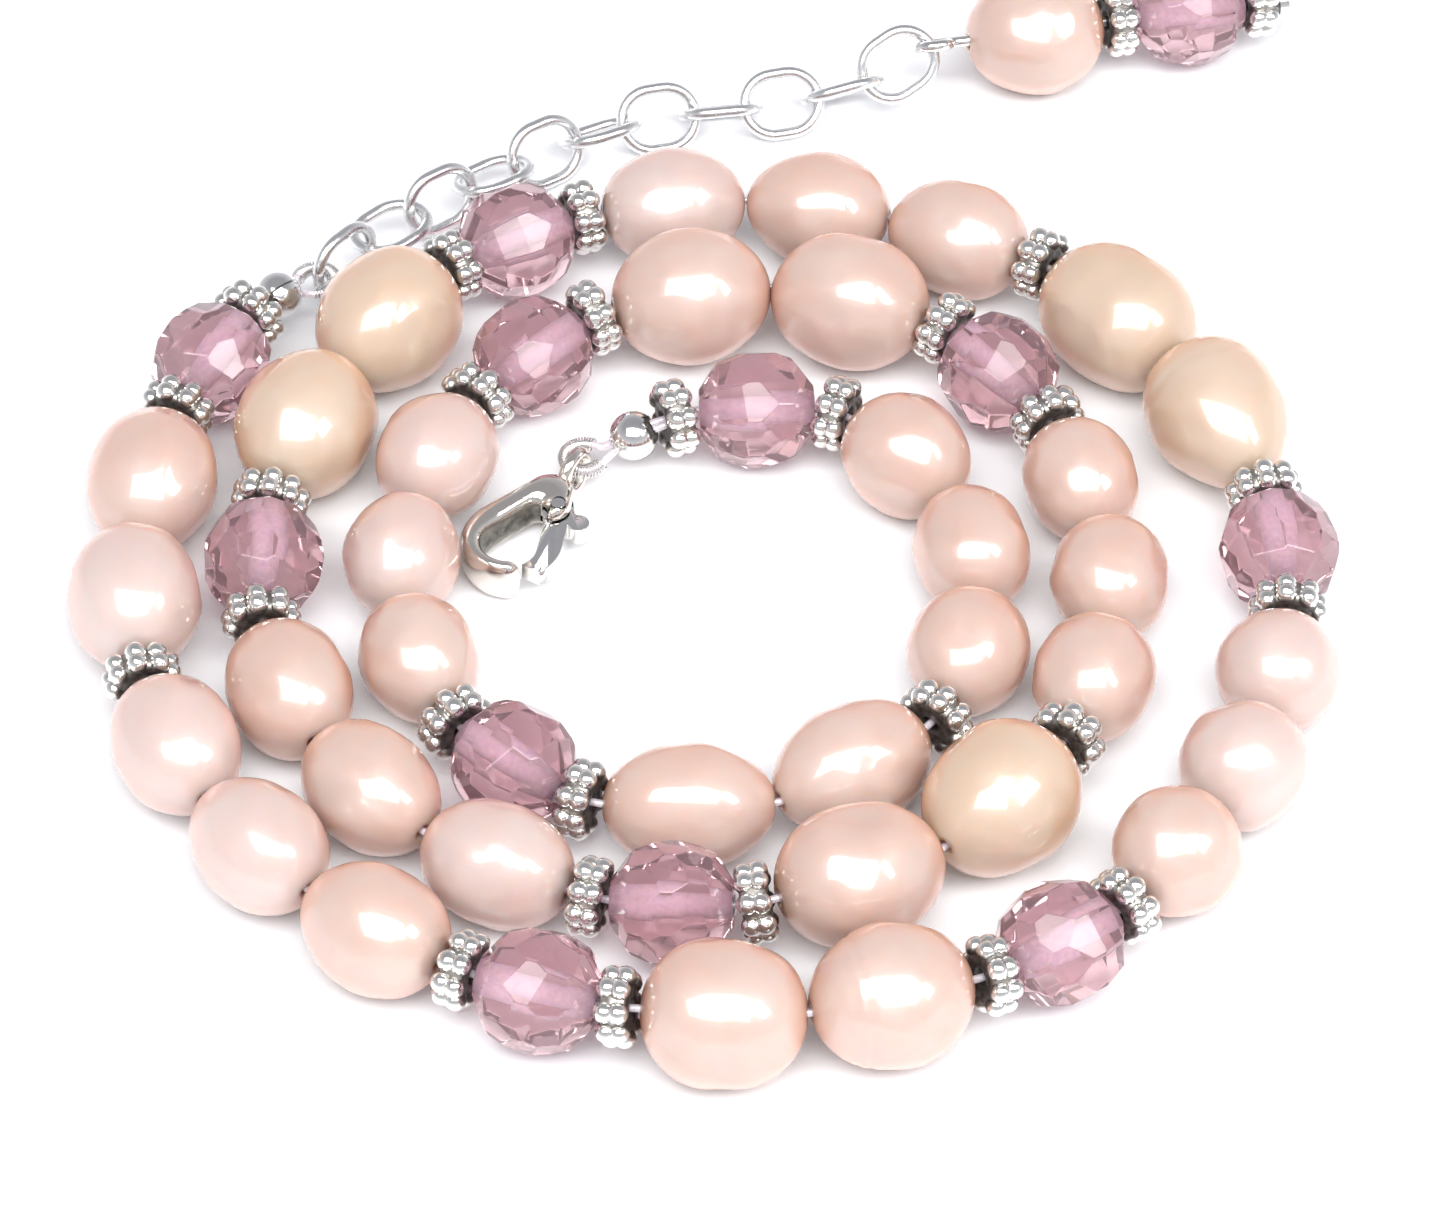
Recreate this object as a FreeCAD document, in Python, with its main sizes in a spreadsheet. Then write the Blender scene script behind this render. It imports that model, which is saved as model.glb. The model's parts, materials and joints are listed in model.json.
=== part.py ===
"""Pearl necklace: freshwater pearls, faceted glass and silver daisy spacers on a beading wire, with a
lobster clasp and an extender chain. Millimetres, +Z up. It lies coiled flat on a table."""
import math
import os

import FreeCAD
import Part

Vector = FreeCAD.Vector
Rotation = FreeCAD.Rotation
Placement = FreeCAD.Placement
UP = Vector(0, 0, 1)

SIZES = {
    "pearl_bore": 0.8,
    "crystal_length": 5.8,
    "crystal_width": 6.0,
    "crystal_end": 2.3,
    "crystal_end_spread": 10.5,
    "crystal_shoulder": 4.3,
    "crystal_shoulder_spread": 7.7,
    "crystal_bore": 1.1,
    "daisy_length": 1.75,
    "daisy_core_length": 1.26,
    "daisy_width": 4.0,
    "daisy_bore": 1.0,
    "grain_width": 1.08,
    "wire_width": 0.38,
    "wire_spacing": 0.44,
    "crimp_length": 1.5,
    "crimp_width": 1.3,
    "crimp_bore": 0.96,
    "cover_width": 2.5,
    "cover_slit": 0.12,
    "cover_room": 0.14,
    "sleeve_width": 0.8,
    "sleeve_bore": 0.5,
    "loop_width": 1.9,
    "link_length": 4.6,
    "link_width": 3.8,
    "link_wire": 0.6,
    "pin_wire": 0.6,
    "pin_head": 1.6,
    "pin_head_length": 0.5,
    "dangle_pearl_length": 7.4,
    "dangle_pearl_width": 6.7,
    "clasp_thickness": 2.4,
    "clasp_edge": 0.7,
    "lever_thickness": 1.0,
    "slot_thickness": 1.24,
    "rivet_width": 0.7,
    "rivet_length": 2.3,
    "rivet_hole": 0.82,
    "tail_ring_width": 2.8,
    "tail_ring_wire": 0.7,
    "spring_width": 0.8,
}
# The pearls of one group are alike: length along the wire, and width across it.
TRIPLETS = ((6.9, 6.0), (6.9, 6.0), (6.8, 5.9), (7.7, 6.1), (7.5, 6.1), (6.4, 6.2), (7.6, 6.2))
PAIRS = ((8.3, 6.1), (8.2, 7.1), (8.3, 7.2), (8.3, 7.0), (8.7, 7.0), (7.8, 7.0), (8.1, 6.6))

# One repeat of the strand. The fourth repeat stops after its second crystal.
REPEAT = ("crystal", "triplet", "spacer", "pair", "crystal", "triplet", "crystal", "pair")
STRAND = REPEAT * 3 + REPEAT[:5]
INNER_REPEATS = 2  # their daisies share one node for each repeat, because this stretch moves as one

# The coil runs clockwise from its inner end: its centre, where it starts, and its radius at every
# eighth of a turn.
COIL_CENTRE = (1.334, -6.007)
COIL_START = -110.0
COIL_STEP = 45.0
COIL_RADII = (
    10.8, 12.0, 12.1, 13.1, 15.1, 16.8, 16.7, 16.8, 18.7, 19.8, 18.6, 19.3,
    21.6, 22.4, 23.2, 23.6, 26.1, 26.3, 26.7, 27.8, 29.0, 28.7, 29.5, 30.0, 32.0,
)
BEAD_PLAY = 0.08  # free space between two beads of a straight stretch
BEND_ROOM = 38.0  # added to it, over the square of the coil's radius, where the strand bends
DAISY_GRAINS = 8
CRYSTAL_SIDES = 9
BEAD_ROLL = 37.0  # each bead is turned this much further about the wire than the one before

LOOP_CORNERS = 8
LOOP_TUCK = 0.1  # how far each loop reaches back towards its cover
HANG_PLAY = 0.05  # free space between a ring and the wire that hangs on it
STRAIGHT_ENOUGH = 0.002  # a corner that turns less than this, in radians, needs no bend
BEND_SHARE = 0.45  # how much of a straight run the bend at each of its ends takes up
BEND_REACH = 1.0  # and at most so far from its corner, so that the bores clear it
SLEEVE_SHARE = 0.65  # how far round the loop's first corner each end of the sleeve stands
TAIL_SHARE = 0.45  # how far the wire's tails go into the crystal at their end of the strand
COVER_ROLL = 250.0  # turns the cover's slit down and to one side
INNER_HEADING = 196.0
OUTER_HEADING = 44.0
INNER_DROP = (0.6, 1.45)  # how far the ball and the loop lie below the strand's end
OUTER_DROP = (0.2, 0.9)

# The extender chain: each link's direction seen from above, its roll and the height of its far joint.
LINKS = (
    (50, 85, 2.0), (42, -8, 2.1), (37, 75, 2.0), (35, -22, 1.9), (34, 62, 1.8), (26, -35, 1.75),
    (14, 52, 1.65), (8, -42, 1.65), (12, 46, 1.75), (12, -46, 2.3), (26, 50, 3.6),
)
LINK_PLAY = 0.1
DANGLE_HEADING = 14.0
DANGLE_TILT = -2.3
EYE_ROLL = -40.0
EYE_NECK = 1.6  # where the pin's wire leaves its eye, and where its beads start, over the eye's radius
EYE_STEM = 1.9
PIN_PLAY = 0.1  # between the last bead and the pin's head

# The clasp lies flat. In its own frame X runs from the middle of the tail ring to the nose, and a
# round end is (x, y, radius).
CLASP_HEADING = 240.0
CLASP_HEIGHT = 1.42
CLASP_TAIL = (2.05, 0.0, 1.15)
CLASP_NOSE = (6.0, 0.0, 2.62)
OPENING_TAIL = (3.9, 0.1, 0.55)
OPENING_NOSE = (6.35, 0.1, 1.35)
MOUTH_LOW = (3.45, 0.5)
MOUTH_HIGH = (7.5, 4.0)
LEVER_PIVOT = Vector(3.1, 0.95, 0)
LEVER_START = 0.85  # the lever's arm begins this far to the side of the clasp's middle line
LEVER_END = 7.1  # and its tip closes on the hook here
LEVER_THINNER = 0.1  # its nose stands this far inside the body's outline
KNUCKLE_WIDTH = 1.6
HINGE_WIDTH = 1.9  # of the round space that the knuckle turns in
THUMB = Vector(3.25, 2.2, 0)
THUMB_WIDTH = 1.1
NECK_REACH = (0.3, 0.6)  # either side of the pivot, along the clasp
SPRING_ROOM = ((2.1, 0.0), (3.1, 0.6))
SPRING_LEAF = ((2.2, 0.02), (3.0, 0.02), (3.0, 0.1), (2.2, 0.16))

doc = FreeCAD.newDocument("pearl_necklace")
sheet = doc.addObject("Spreadsheet::Sheet", "sizes")
nodes = []


def fill_sheet():
    """Put every driving dimension in the sheet under its own alias."""
    cells = dict(SIZES)
    for kind, groups in (("triplet", TRIPLETS), ("pair", PAIRS)):
        for number, (length, width) in enumerate(groups, 1):
            cells[f"{kind}_length_{number}"] = length
            cells[f"{kind}_width_{number}"] = width
    for row, (alias, value) in enumerate(cells.items(), 1):
        sheet.set(f"A{row}", alias)
        sheet.set(f"B{row}", str(value))
        sheet.setAlias(f"B{row}", alias)
    doc.recompute()


def size(alias):
    """The number that the sheet holds under an alias."""
    return float(sheet.get(alias))


def bind(thing, **sizes):
    """Tie properties of an object to the sheet. Each value is an expression in the sheet's aliases."""
    for name, expression in sizes.items():
        thing.setExpression(name, expression)
    return thing


def make(kind, name, **sizes):
    return bind(doc.addObject(kind, name), **sizes)


def cut(name, base, tool):
    result = doc.addObject("Part::Cut", name)
    result.Base = base
    result.Tool = tool
    return result


def join(name, shapes):
    result = doc.addObject("Part::MultiFuse", name)
    result.Shapes = shapes
    return result


def common(name, shapes):
    result = doc.addObject("Part::MultiCommon", name)
    result.Shapes = shapes
    return result


def rod(name, width, length):
    """A cylinder about Z with its middle at the origin. The sizes are expressions."""
    result = make("Part::Cylinder", name, Radius=f"({width}) / 2", Height=length)
    result.setExpression("Placement.Base.z", f"-({length}) / 2")
    return result


def copies(label, masters, places):
    """One node of separate solids: each master at its place."""
    members = []
    for number, (master, place) in enumerate(zip(masters, places)):
        member = doc.addObject("Part::Compound", f"{label}_{number}")
        member.Links = [master]
        member.Placement = place
        members.append(member)
    if len(members) == 1:
        node = members[0]
    else:
        node = doc.addObject("Part::Compound", label)
        node.Links = members
    return keep(node, label)


def keep(node, label):
    node.Label = label
    nodes.append(node)
    return node


def solid_feature(name, shape, place=None):
    """A Part::Feature for a shape that no primitive gives."""
    result = doc.addObject("Part::Feature", name)
    result.Shape = shape
    if place:
        result.Placement = place
    return result


# ---------------------------------------------------------------- the strand's route


def coil_radius(turned):
    """The coil's radius after so many degrees, on a smooth curve through COIL_RADII."""
    steps = (turned - COIL_START) / COIL_STEP
    first = max(0, min(int(steps), len(COIL_RADII) - 2))
    part = steps - first
    last = len(COIL_RADII) - 1
    before, start, end, after = (COIL_RADII[max(0, min(last, first + k))] for k in (-1, 0, 1, 2))
    slope_in = (end - before) / 2
    slope_out = (after - start) / 2
    blend = part * part * (3 - 2 * part)
    return (
        start * (1 - blend)
        + end * blend
        + slope_in * part * (1 - part) ** 2
        - slope_out * part**2 * (1 - part)
    )


def coil_point(turned):
    angle = math.radians(-turned)
    radius = coil_radius(turned)
    return Vector(COIL_CENTRE[0] + radius * math.cos(angle), COIL_CENTRE[1] + radius * math.sin(angle), 0)


def turned_after(turned, distance):
    """Where the coil is a straight distance further on."""
    start = coil_point(turned)
    low, high = turned, turned + 2 * COIL_STEP
    for _ in range(40):
        middle = (low + high) / 2
        if (coil_point(middle) - start).Length < distance:
            low = middle
        else:
            high = middle
    return low


class Bead:
    """One bead of the strand: its kind, its group, its size and, once threaded, its two ends."""

    def __init__(self, kind, group, length, width):
        self.kind = kind
        self.group = group
        self.length = length
        self.width = width
        self.start = None
        self.end = None

    @property
    def middle(self):
        return (self.start + self.end) / 2

    @property
    def direction(self):
        return (self.end - self.start).normalize()

    def place(self, roll=0.0):
        """Z of the bead's own frame runs along the wire."""
        turn = Rotation(UP, self.direction)
        return Placement(self.middle, turn.multiply(Rotation(UP, roll)))


def list_beads():
    """Every bead in order, from the clasp's end, with the number of its group of that kind."""
    daisy = (size("daisy_length"), size("daisy_width"))
    crystal = (size("crystal_length"), size("crystal_width"))
    count = {"crystal": 0, "triplet": 0, "pair": 0, "spacer": 0}
    beads = []
    for position, kind in enumerate(STRAND):
        count[kind] += 1
        group = (kind, count[kind], position)
        if kind == "crystal":
            beads.append(Bead("daisy", group, *daisy))
            beads.append(Bead("crystal", group, *crystal))
            beads.append(Bead("daisy", group, *daisy))
        elif kind == "spacer":
            beads.append(Bead("daisy", group, *daisy))
        else:
            length = size(f"{kind}_length_{count[kind]}")
            width = size(f"{kind}_width_{count[kind]}")
            beads += [Bead("pearl", group, length, width) for _ in range(3 if kind == "triplet" else 2)]
    return beads


def thread(beads):
    """Lay the beads end to end along the coil. Each rests on the table or hangs on the wire."""
    turned = COIL_START
    for bead in beads:
        bead.start = coil_point(turned)
        turned = turned_after(turned, bead.length)
        bead.end = coil_point(turned)
        turned = turned_after(turned, BEAD_PLAY + BEND_ROOM / coil_radius(turned) ** 2)
    heights = [bead.width / 2 for bead in beads]
    for number, bead in enumerate(beads):
        if bead.kind == "daisy":
            beside = [heights[k] for k in (number - 1, number + 1) if 0 <= k < len(beads)]
            heights[number] = max(beside)
    for number, bead in enumerate(beads):
        before = heights[max(0, number - 1)]
        after = heights[min(len(beads) - 1, number + 1)]
        bead.start.z = (before + heights[number]) / 2
        bead.end.z = (heights[number] + after) / 2


# ---------------------------------------------------------------- beads


def pearl_master(name, length, width):
    """An oval pearl drilled end to end."""
    body = make(
        "Part::Ellipsoid",
        f"{name}_nacre",
        Radius1=f"{length} / 2",
        Radius2=f"{width} / 2",
        Radius3=f"{width} / 2",
    )
    return cut(name, body, rod(f"{name}_bore", "sizes.pearl_bore", f"{length} + 1"))


def facet_ring(name, end_width, middle_width, roll):
    """Two many-sided frustums, base to base. Their flat sides slope from the middle to the ends."""
    halves = []
    for side in (-1, 1):
        outlines = []
        for position, width in ((side, end_width), (0, middle_width)):
            outline = doc.addObject("Part::RegularPolygon", f"{name}_outline")
            outline.Polygon = CRYSTAL_SIDES
            outline.setExpression("Circumradius", f"({width}) / 2")
            outline.Placement = Placement(Vector(), Rotation(UP, roll))
            outline.setExpression("Placement.Base.z", f"{position} * sizes.crystal_length / 2")
            outlines.append(outline)
        half = doc.addObject("Part::Loft", f"{name}_half")
        half.Sections = outlines
        half.Solid = True
        half.Ruled = True
        halves.append(half)
    return join(name, halves)


def crystal_master():
    """A round faceted glass bead: a belt of upright facets between two rows of sloping ones."""
    half_turn = 180.0 / CRYSTAL_SIDES
    belt = make("Part::Prism", "crystal_belt", Circumradius="sizes.crystal_width / 2")
    belt.Polygon = CRYSTAL_SIDES
    belt.setExpression("Height", "sizes.crystal_length")
    belt.setExpression("Placement.Base.z", "-sizes.crystal_length / 2")
    slopes = facet_ring(
        "crystal_slopes", "sizes.crystal_shoulder", "sizes.crystal_shoulder_spread", half_turn
    )
    ends = facet_ring("crystal_ends", "sizes.crystal_end", "sizes.crystal_end_spread", 0)
    glass = common("crystal_glass", [belt, slopes, ends])
    bore = rod("crystal_hole", "sizes.crystal_bore", "sizes.crystal_length + 1")
    return cut("crystal_master", glass, bore)


def daisy_master():
    """A cast spacer: a ring with two rows of grains round its edge."""
    ring = rod("daisy_ring", "sizes.daisy_width - sizes.grain_width", "sizes.daisy_core_length")
    parts = [ring]
    for row in (-1, 1):
        for number in range(DAISY_GRAINS):
            angle = math.radians(360 * (number + 0.5) / DAISY_GRAINS)
            grain = make("Part::Sphere", "daisy_grain", Radius="sizes.grain_width / 2")
            reach = "(sizes.daisy_width - sizes.grain_width) / 2"
            grain.setExpression("Placement.Base.x", f"{reach} * {math.cos(angle):.6f}")
            grain.setExpression("Placement.Base.y", f"{reach} * {math.sin(angle):.6f}")
            grain.setExpression(
                "Placement.Base.z", f"{row} * (sizes.daisy_length - sizes.grain_width) / 2"
            )
            parts.append(grain)
    silver = join("daisy_silver", parts)
    return cut("daisy_master", silver, rod("daisy_hole", "sizes.daisy_bore", "sizes.daisy_length + 1"))


def rolled_places(beads, first):
    return [bead.place(BEAD_ROLL * (first + number)) for number, bead in enumerate(beads)]


def make_beads(beads, crystal, daisy):
    """The nodes of the strand: each group of pearls, each crystal and each crystal's daisies."""
    groups = {}
    for bead in beads:
        groups.setdefault(bead.group, []).append(bead)
    inner = {}
    for number, (group, members) in enumerate(groups.items()):
        kind, count, position = group
        repeat = position // len(REPEAT)
        silver = [bead for bead in members if bead.kind == "daisy"]
        if kind == "crystal":
            glass = [bead for bead in members if bead.kind == "crystal"]
            copies(f"crystal_{count:02d}", [crystal], rolled_places(glass, number))
        elif kind in ("triplet", "pair"):
            sizes = (f"sizes.{kind}_length_{count}", f"sizes.{kind}_width_{count}")
            master = pearl_master(f"{kind}_pearl_{count}", *sizes)
            copies(f"pearls_{kind}_{count}", [master] * len(members), rolled_places(members, number))
        if silver and repeat < INNER_REPEATS:
            inner.setdefault(repeat, []).extend(silver)
        elif silver:
            label = f"daisies_{count:02d}" if kind == "crystal" else f"spacer_daisy_{count}"
            copies(label, [daisy] * len(silver), rolled_places(silver, number))
    for repeat, silver in inner.items():
        copies(f"daisies_repeat_{repeat + 1}", [daisy] * len(silver), rolled_places(silver, 0))


# ---------------------------------------------------------------- wire, loops and their fittings


def rounded_route(points):
    """Straight runs with a tangent arc at every corner, as one wire."""
    edges = []
    last = points[0]
    for before, corner, after in zip(points, points[1:], points[2:]):
        back = (before - corner).normalize()
        on = (after - corner).normalize()
        half_turn = (math.pi - back.getAngle(on)) / 2
        if half_turn < STRAIGHT_ENOUGH:
            continue
        shorter = min((before - corner).Length, (after - corner).Length)
        tangent = min(BEND_REACH, BEND_SHARE * shorter)
        radius = tangent / math.tan(half_turn)
        inward = (back + on).normalize()
        start = corner + back * tangent
        end = corner + on * tangent
        middle = corner + inward * (math.hypot(radius, tangent) - radius)
        edges.append(Part.LineSegment(last, start).toShape())
        edges.append(Part.Arc(start, middle, end).toShape())
        last = end
    edges.append(Part.LineSegment(last, points[-1]).toShape())
    return Part.Wire(edges)


def swept(name, route, width):
    """A round section, as wide as an expression says, swept along a wire of runs and arcs."""
    spine = solid_feature(f"{name}_route", route)
    start = route.OrderedEdges[0]
    at = start.valueAt(start.FirstParameter)
    section = make("Part::Circle", f"{name}_section", Radius=f"({width}) / 2")
    section.Placement = Placement(at, Rotation(UP, start.tangentAt(start.FirstParameter)))
    result = doc.addObject("Part::Sweep", name)
    result.Sections = [section]
    result.Spine = (spine, [f"Edge{number + 1}" for number in range(len(route.Edges))])
    result.Solid = True
    result.Frenet = False
    return result


def level(heading):
    """A horizontal direction, from its angle seen from above."""
    angle = math.radians(heading)
    return Vector(math.cos(angle), math.sin(angle), 0)


class StrandEnd:
    """Where one end of the strand is finished: a crimp under a round cover, then a wire loop."""

    def __init__(self, name, bead_end, heading, drop):
        self.name = name
        self.out = level(heading)
        self.side = level(heading + 90)
        cover = size("cover_width")
        self.loop_radius = size("loop_width") / 2
        self.ball = bead_end + self.out * (cover / 2 + BEAD_PLAY) - UP * drop[0]
        reach = cover / 2 + BEAD_PLAY + self.loop_radius + size("sleeve_width") / 2 + cover / 2 - LOOP_TUCK
        self.loop = bead_end + self.out * reach - UP * drop[1]
        self.axis = (self.ball - bead_end).normalize()

    def loop_corners(self):
        """The corners of a many-sided loop about a circle, from one side of the cover to the other."""
        step = 360.0 / LOOP_CORNERS
        reach = self.loop_radius / math.cos(math.radians(step / 2))
        corners = []
        for number in range(LOOP_CORNERS):
            angle = math.radians(-180 + step * (number + 0.5))
            corners.append(
                self.loop + self.out * reach * math.cos(angle) + self.side * reach * math.sin(angle)
            )
        return corners

    def through_crimp(self, side):
        """Two points along the crimp, on one side of its middle, towards the loop."""
        offset = self.side * (side * size("wire_spacing") / 2)
        half = self.axis * (size("crimp_length") / 2)
        return [self.ball - half + offset, self.ball + half + offset]

    def wire_points(self, tail):
        """The wire's route from its tail through the crimp, round the loop and back to the strand."""
        there = self.through_crimp(-1)
        back = self.through_crimp(1)
        return tail + there + self.loop_corners() + back[::-1]

    def make_fittings(self):
        turn = Rotation(UP, self.axis)
        at = Placement(self.ball, turn)
        tube = cut(
            f"crimp_{self.name}",
            rod("crimp_outside", "sizes.crimp_width", "sizes.crimp_length"),
            rod("crimp_inside", "sizes.crimp_bore", "sizes.crimp_length + 1"),
        )
        copies(f"crimp_tube_{self.name}", [tube], [at])
        ball = make("Part::Sphere", "cover_ball", Radius="sizes.cover_width / 2")
        room = rod(
            "cover_inside",
            "sizes.crimp_width + sizes.cover_room",
            "sizes.crimp_length + sizes.cover_room",
        )
        mouths = rod("cover_mouths", "sizes.crimp_bore + sizes.cover_room", "sizes.cover_width + 1")
        slit = make("Part::Box", "cover_slit", Length="sizes.cover_width", Width="sizes.cover_slit")
        slit.setExpression("Height", "sizes.cover_width + 1")
        slit.setExpression("Placement.Base.y", "-sizes.cover_slit / 2")
        slit.setExpression("Placement.Base.z", "-(sizes.cover_width + 1) / 2")
        hollow = cut("cover_hollow", ball, join("cover_hollows", [room, mouths, slit]))
        shell = Placement(self.ball, turn.multiply(Rotation(UP, COVER_ROLL)))
        copies(f"crimp_cover_{self.name}", [hollow], [shell])
        self.make_sleeve()

    def make_sleeve(self):
        """The tube that guards the wire round the loop. It stops short of the cover."""
        corners = self.loop_corners()
        first = corners[0] + (corners[1] - corners[0]) * SLEEVE_SHARE
        last = corners[-1] + (corners[-2] - corners[-1]) * SLEEVE_SHARE
        route = rounded_route([first] + corners[1:-1] + [last])
        outside = swept(f"sleeve_{self.name}_outside", route, "sizes.sleeve_width")
        inside = swept(f"sleeve_{self.name}_inside", route, "sizes.sleeve_bore")
        keep(cut(f"sleeve_{self.name}", outside, inside), f"loop_sleeve_{self.name}")


def make_wire(beads, inner, outer):
    """The one beading wire: tail, loop, the whole strand, loop and tail."""
    between = [(a.end + b.start) / 2 for a, b in zip(beads, beads[1:])]
    first, second = between[0], between[1]
    last, before = between[-1], between[-2]
    inner_beside = inner.side * (size("wire_spacing") / 2)
    outer_beside = outer.side * (size("wire_spacing") / 2)
    inner_tail = [first + (second - first) * TAIL_SHARE - inner_beside, first - inner_beside]
    outer_tail = [last + (before - last) * TAIL_SHARE - outer_beside, last - outer_beside]
    points = inner.wire_points(inner_tail) + [first + inner_beside] + between[1:-1]
    points += [last + outer_beside] + outer.wire_points(outer_tail)[::-1]
    keep(swept("wire", rounded_route(points), "sizes.wire_width"), "beading_wire")


# ---------------------------------------------------------------- extender chain and dangle


def link_master():
    """One oval link in the XY plane, long along X."""
    straight = (size("link_length") - size("link_width")) / 2
    bend = (size("link_width") - size("link_wire")) / 2
    edges = []
    for side in (1, -1):
        corner = Vector(side * straight, -side * bend, 0)
        tip = Vector(side * (straight + bend), 0, 0)
        far = Vector(side * straight, side * bend, 0)
        edges.append(Part.Arc(corner, tip, far).toShape())
        edges.append(Part.LineSegment(far, Vector(-side * straight, side * bend, 0)).toShape())
    return swept("link_master", Part.Wire(edges), "sizes.link_wire")


def frame_along(start, end, roll):
    """The turn that points X from start to end, with Z up and then rolled about X."""
    ahead = (end - start).normalize()
    across = UP.cross(ahead).normalize()
    upright = ahead.cross(across)
    turn = Rotation(ahead, across, upright, "XYZ")
    return turn.multiply(Rotation(Vector(1, 0, 0), roll))


def make_chain(start):
    """The links, each between two joints. Returns the last joint."""
    link = link_master()
    pitch = size("link_length") - 2 * size("link_wire") - LINK_PLAY
    joint = start
    for number, (heading, roll, height) in enumerate(LINKS, 1):
        rise = height - joint.z
        run = math.sqrt(pitch**2 - rise**2)
        following = joint + level(heading) * run + UP * rise
        place = Placement((joint + following) / 2, frame_along(joint, following, roll))
        copies(f"chain_link_{number:02d}", [link], [place])
        joint = following
    return joint


def make_dangle(joint, crystal, daisy):
    """A head pin with a pearl and a crystal between two daisies, hung from the last link."""
    tilt = math.radians(DANGLE_TILT)
    ahead = level(DANGLE_HEADING) * math.cos(tilt) + UP * math.sin(tilt)
    eye_radius = size("loop_width") / 2
    eye = joint + ahead * (eye_radius - size("pin_wire") / 2 - HANG_PLAY)
    turn = frame_along(eye, eye + ahead, 0)
    step = 360.0 / LOOP_CORNERS
    corner_reach = eye_radius / math.cos(math.radians(step / 2))
    corners = []
    for number in range(1, LOOP_CORNERS - 1):
        angle = math.radians(-step * (number + 0.5))
        corners.append(Vector(corner_reach * math.cos(angle), corner_reach * math.sin(angle), 0))
    free_end = (corners[0] + Vector(corner_reach * math.cos(math.radians(step / 2)), 0, 0)) / 2
    neck = Vector(EYE_NECK * eye_radius, 0, 0)
    members = [("pearl", size("dangle_pearl_length")), ("daisy", size("daisy_length"))]
    members += [("crystal", size("crystal_length")), ("daisy", size("daisy_length"))]
    along = EYE_STEM * eye_radius
    places = {"pearl": [], "daisy": [], "crystal": []}
    bead_turn = turn.multiply(Rotation(UP, Vector(1, 0, 0)))
    for kind, length in members:
        middle = eye + ahead * (along + length / 2)
        places[kind].append(Placement(middle, bead_turn.multiply(Rotation(UP, BEAD_ROLL))))
        along += length + BEAD_PLAY
    stem_end = Vector(along + PIN_PLAY, 0, 0)
    route = rounded_route([free_end] + corners + [neck, stem_end])
    wire = swept("pin_wire", route, "sizes.pin_wire")
    head = rod("pin_head", "sizes.pin_head", "sizes.pin_head_length")
    head.Placement = Placement(stem_end, Rotation(UP, Vector(1, 0, 0)))
    pin = join("pin_master", [wire, head])
    eye_turn = turn.multiply(Rotation(Vector(1, 0, 0), EYE_ROLL))
    copies("dangle_head_pin", [pin], [Placement(eye, eye_turn)])
    pearl = pearl_master("dangle_pearl_master", "sizes.dangle_pearl_length", "sizes.dangle_pearl_width")
    copies("dangle_pearl", [pearl], places["pearl"])
    copies("dangle_crystal", [crystal], places["crystal"])
    copies("dangle_daisies", [daisy] * 2, places["daisy"])


# ---------------------------------------------------------------- lobster clasp


def teardrop(name, tail, nose, thickness):
    """A flat teardrop about two circles, each (x, y, radius), centred on Z = 0."""
    (tail_x, tail_y, tail_radius), (nose_x, nose_y, nose_radius) = tail, nose
    between = Vector(nose_x - tail_x, nose_y - tail_y, 0)
    lean = math.asin((nose_radius - tail_radius) / between.Length)
    base = math.atan2(between.y, between.x)

    def at(x, y, radius, angle):
        return Vector(x + radius * math.cos(angle), y + radius * math.sin(angle), 0)

    upper = base + math.pi / 2 + lean
    lower = base - math.pi / 2 - lean
    tail_up, tail_low = at(*tail, upper), at(*tail, lower)
    nose_up, nose_low = at(*nose, upper), at(*nose, lower)
    outline = Part.Wire(
        [
            Part.LineSegment(tail_up, nose_up).toShape(),
            Part.Arc(nose_up, at(*nose, base), nose_low).toShape(),
            Part.LineSegment(nose_low, tail_low).toShape(),
            Part.Arc(tail_low, at(*tail, base + math.pi), tail_up).toShape(),
        ]
    )
    plate = Part.Face(outline).extrude(UP * thickness)
    plate.translate(UP * (-thickness / 2))
    return solid_feature(name, plate)


def rounded(name, base, radius, chosen):
    """Fillet the edges of a shape for which chosen(edge) is true."""
    doc.recompute()
    result = doc.addObject("Part::Fillet", name)
    result.Base = base
    result.Edges = [
        (number, radius, radius) for number, edge in enumerate(base.Shape.Edges, 1) if chosen(edge)
    ]
    return result


def block(name, low, high):
    result = doc.addObject("Part::Box", name)
    result.Length, result.Width, result.Height = high.x - low.x, high.y - low.y, high.z - low.z
    result.Placement.Base = low
    return result


def post(name, at, width, length):
    """A round post across the clasp, at a point of its plane. The sizes are expressions."""
    result = rod(name, width, length)
    result.Placement.Base = Vector(at.x, at.y, 0)
    result.setExpression("Placement.Base.z", f"-({length}) / 2")
    return result


def clasp_place(inner):
    ahead = level(CLASP_HEADING)
    ring_radius = (size("tail_ring_width") - size("tail_ring_wire")) / 2
    overlap = (size("sleeve_width") + size("tail_ring_wire")) / 2 + 2 * HANG_PLAY
    centre = inner.loop + ahead * (inner.loop_radius + ring_radius - overlap)
    return Placement(Vector(centre.x, centre.y, CLASP_HEIGHT), Rotation(UP, CLASP_HEADING))


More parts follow.
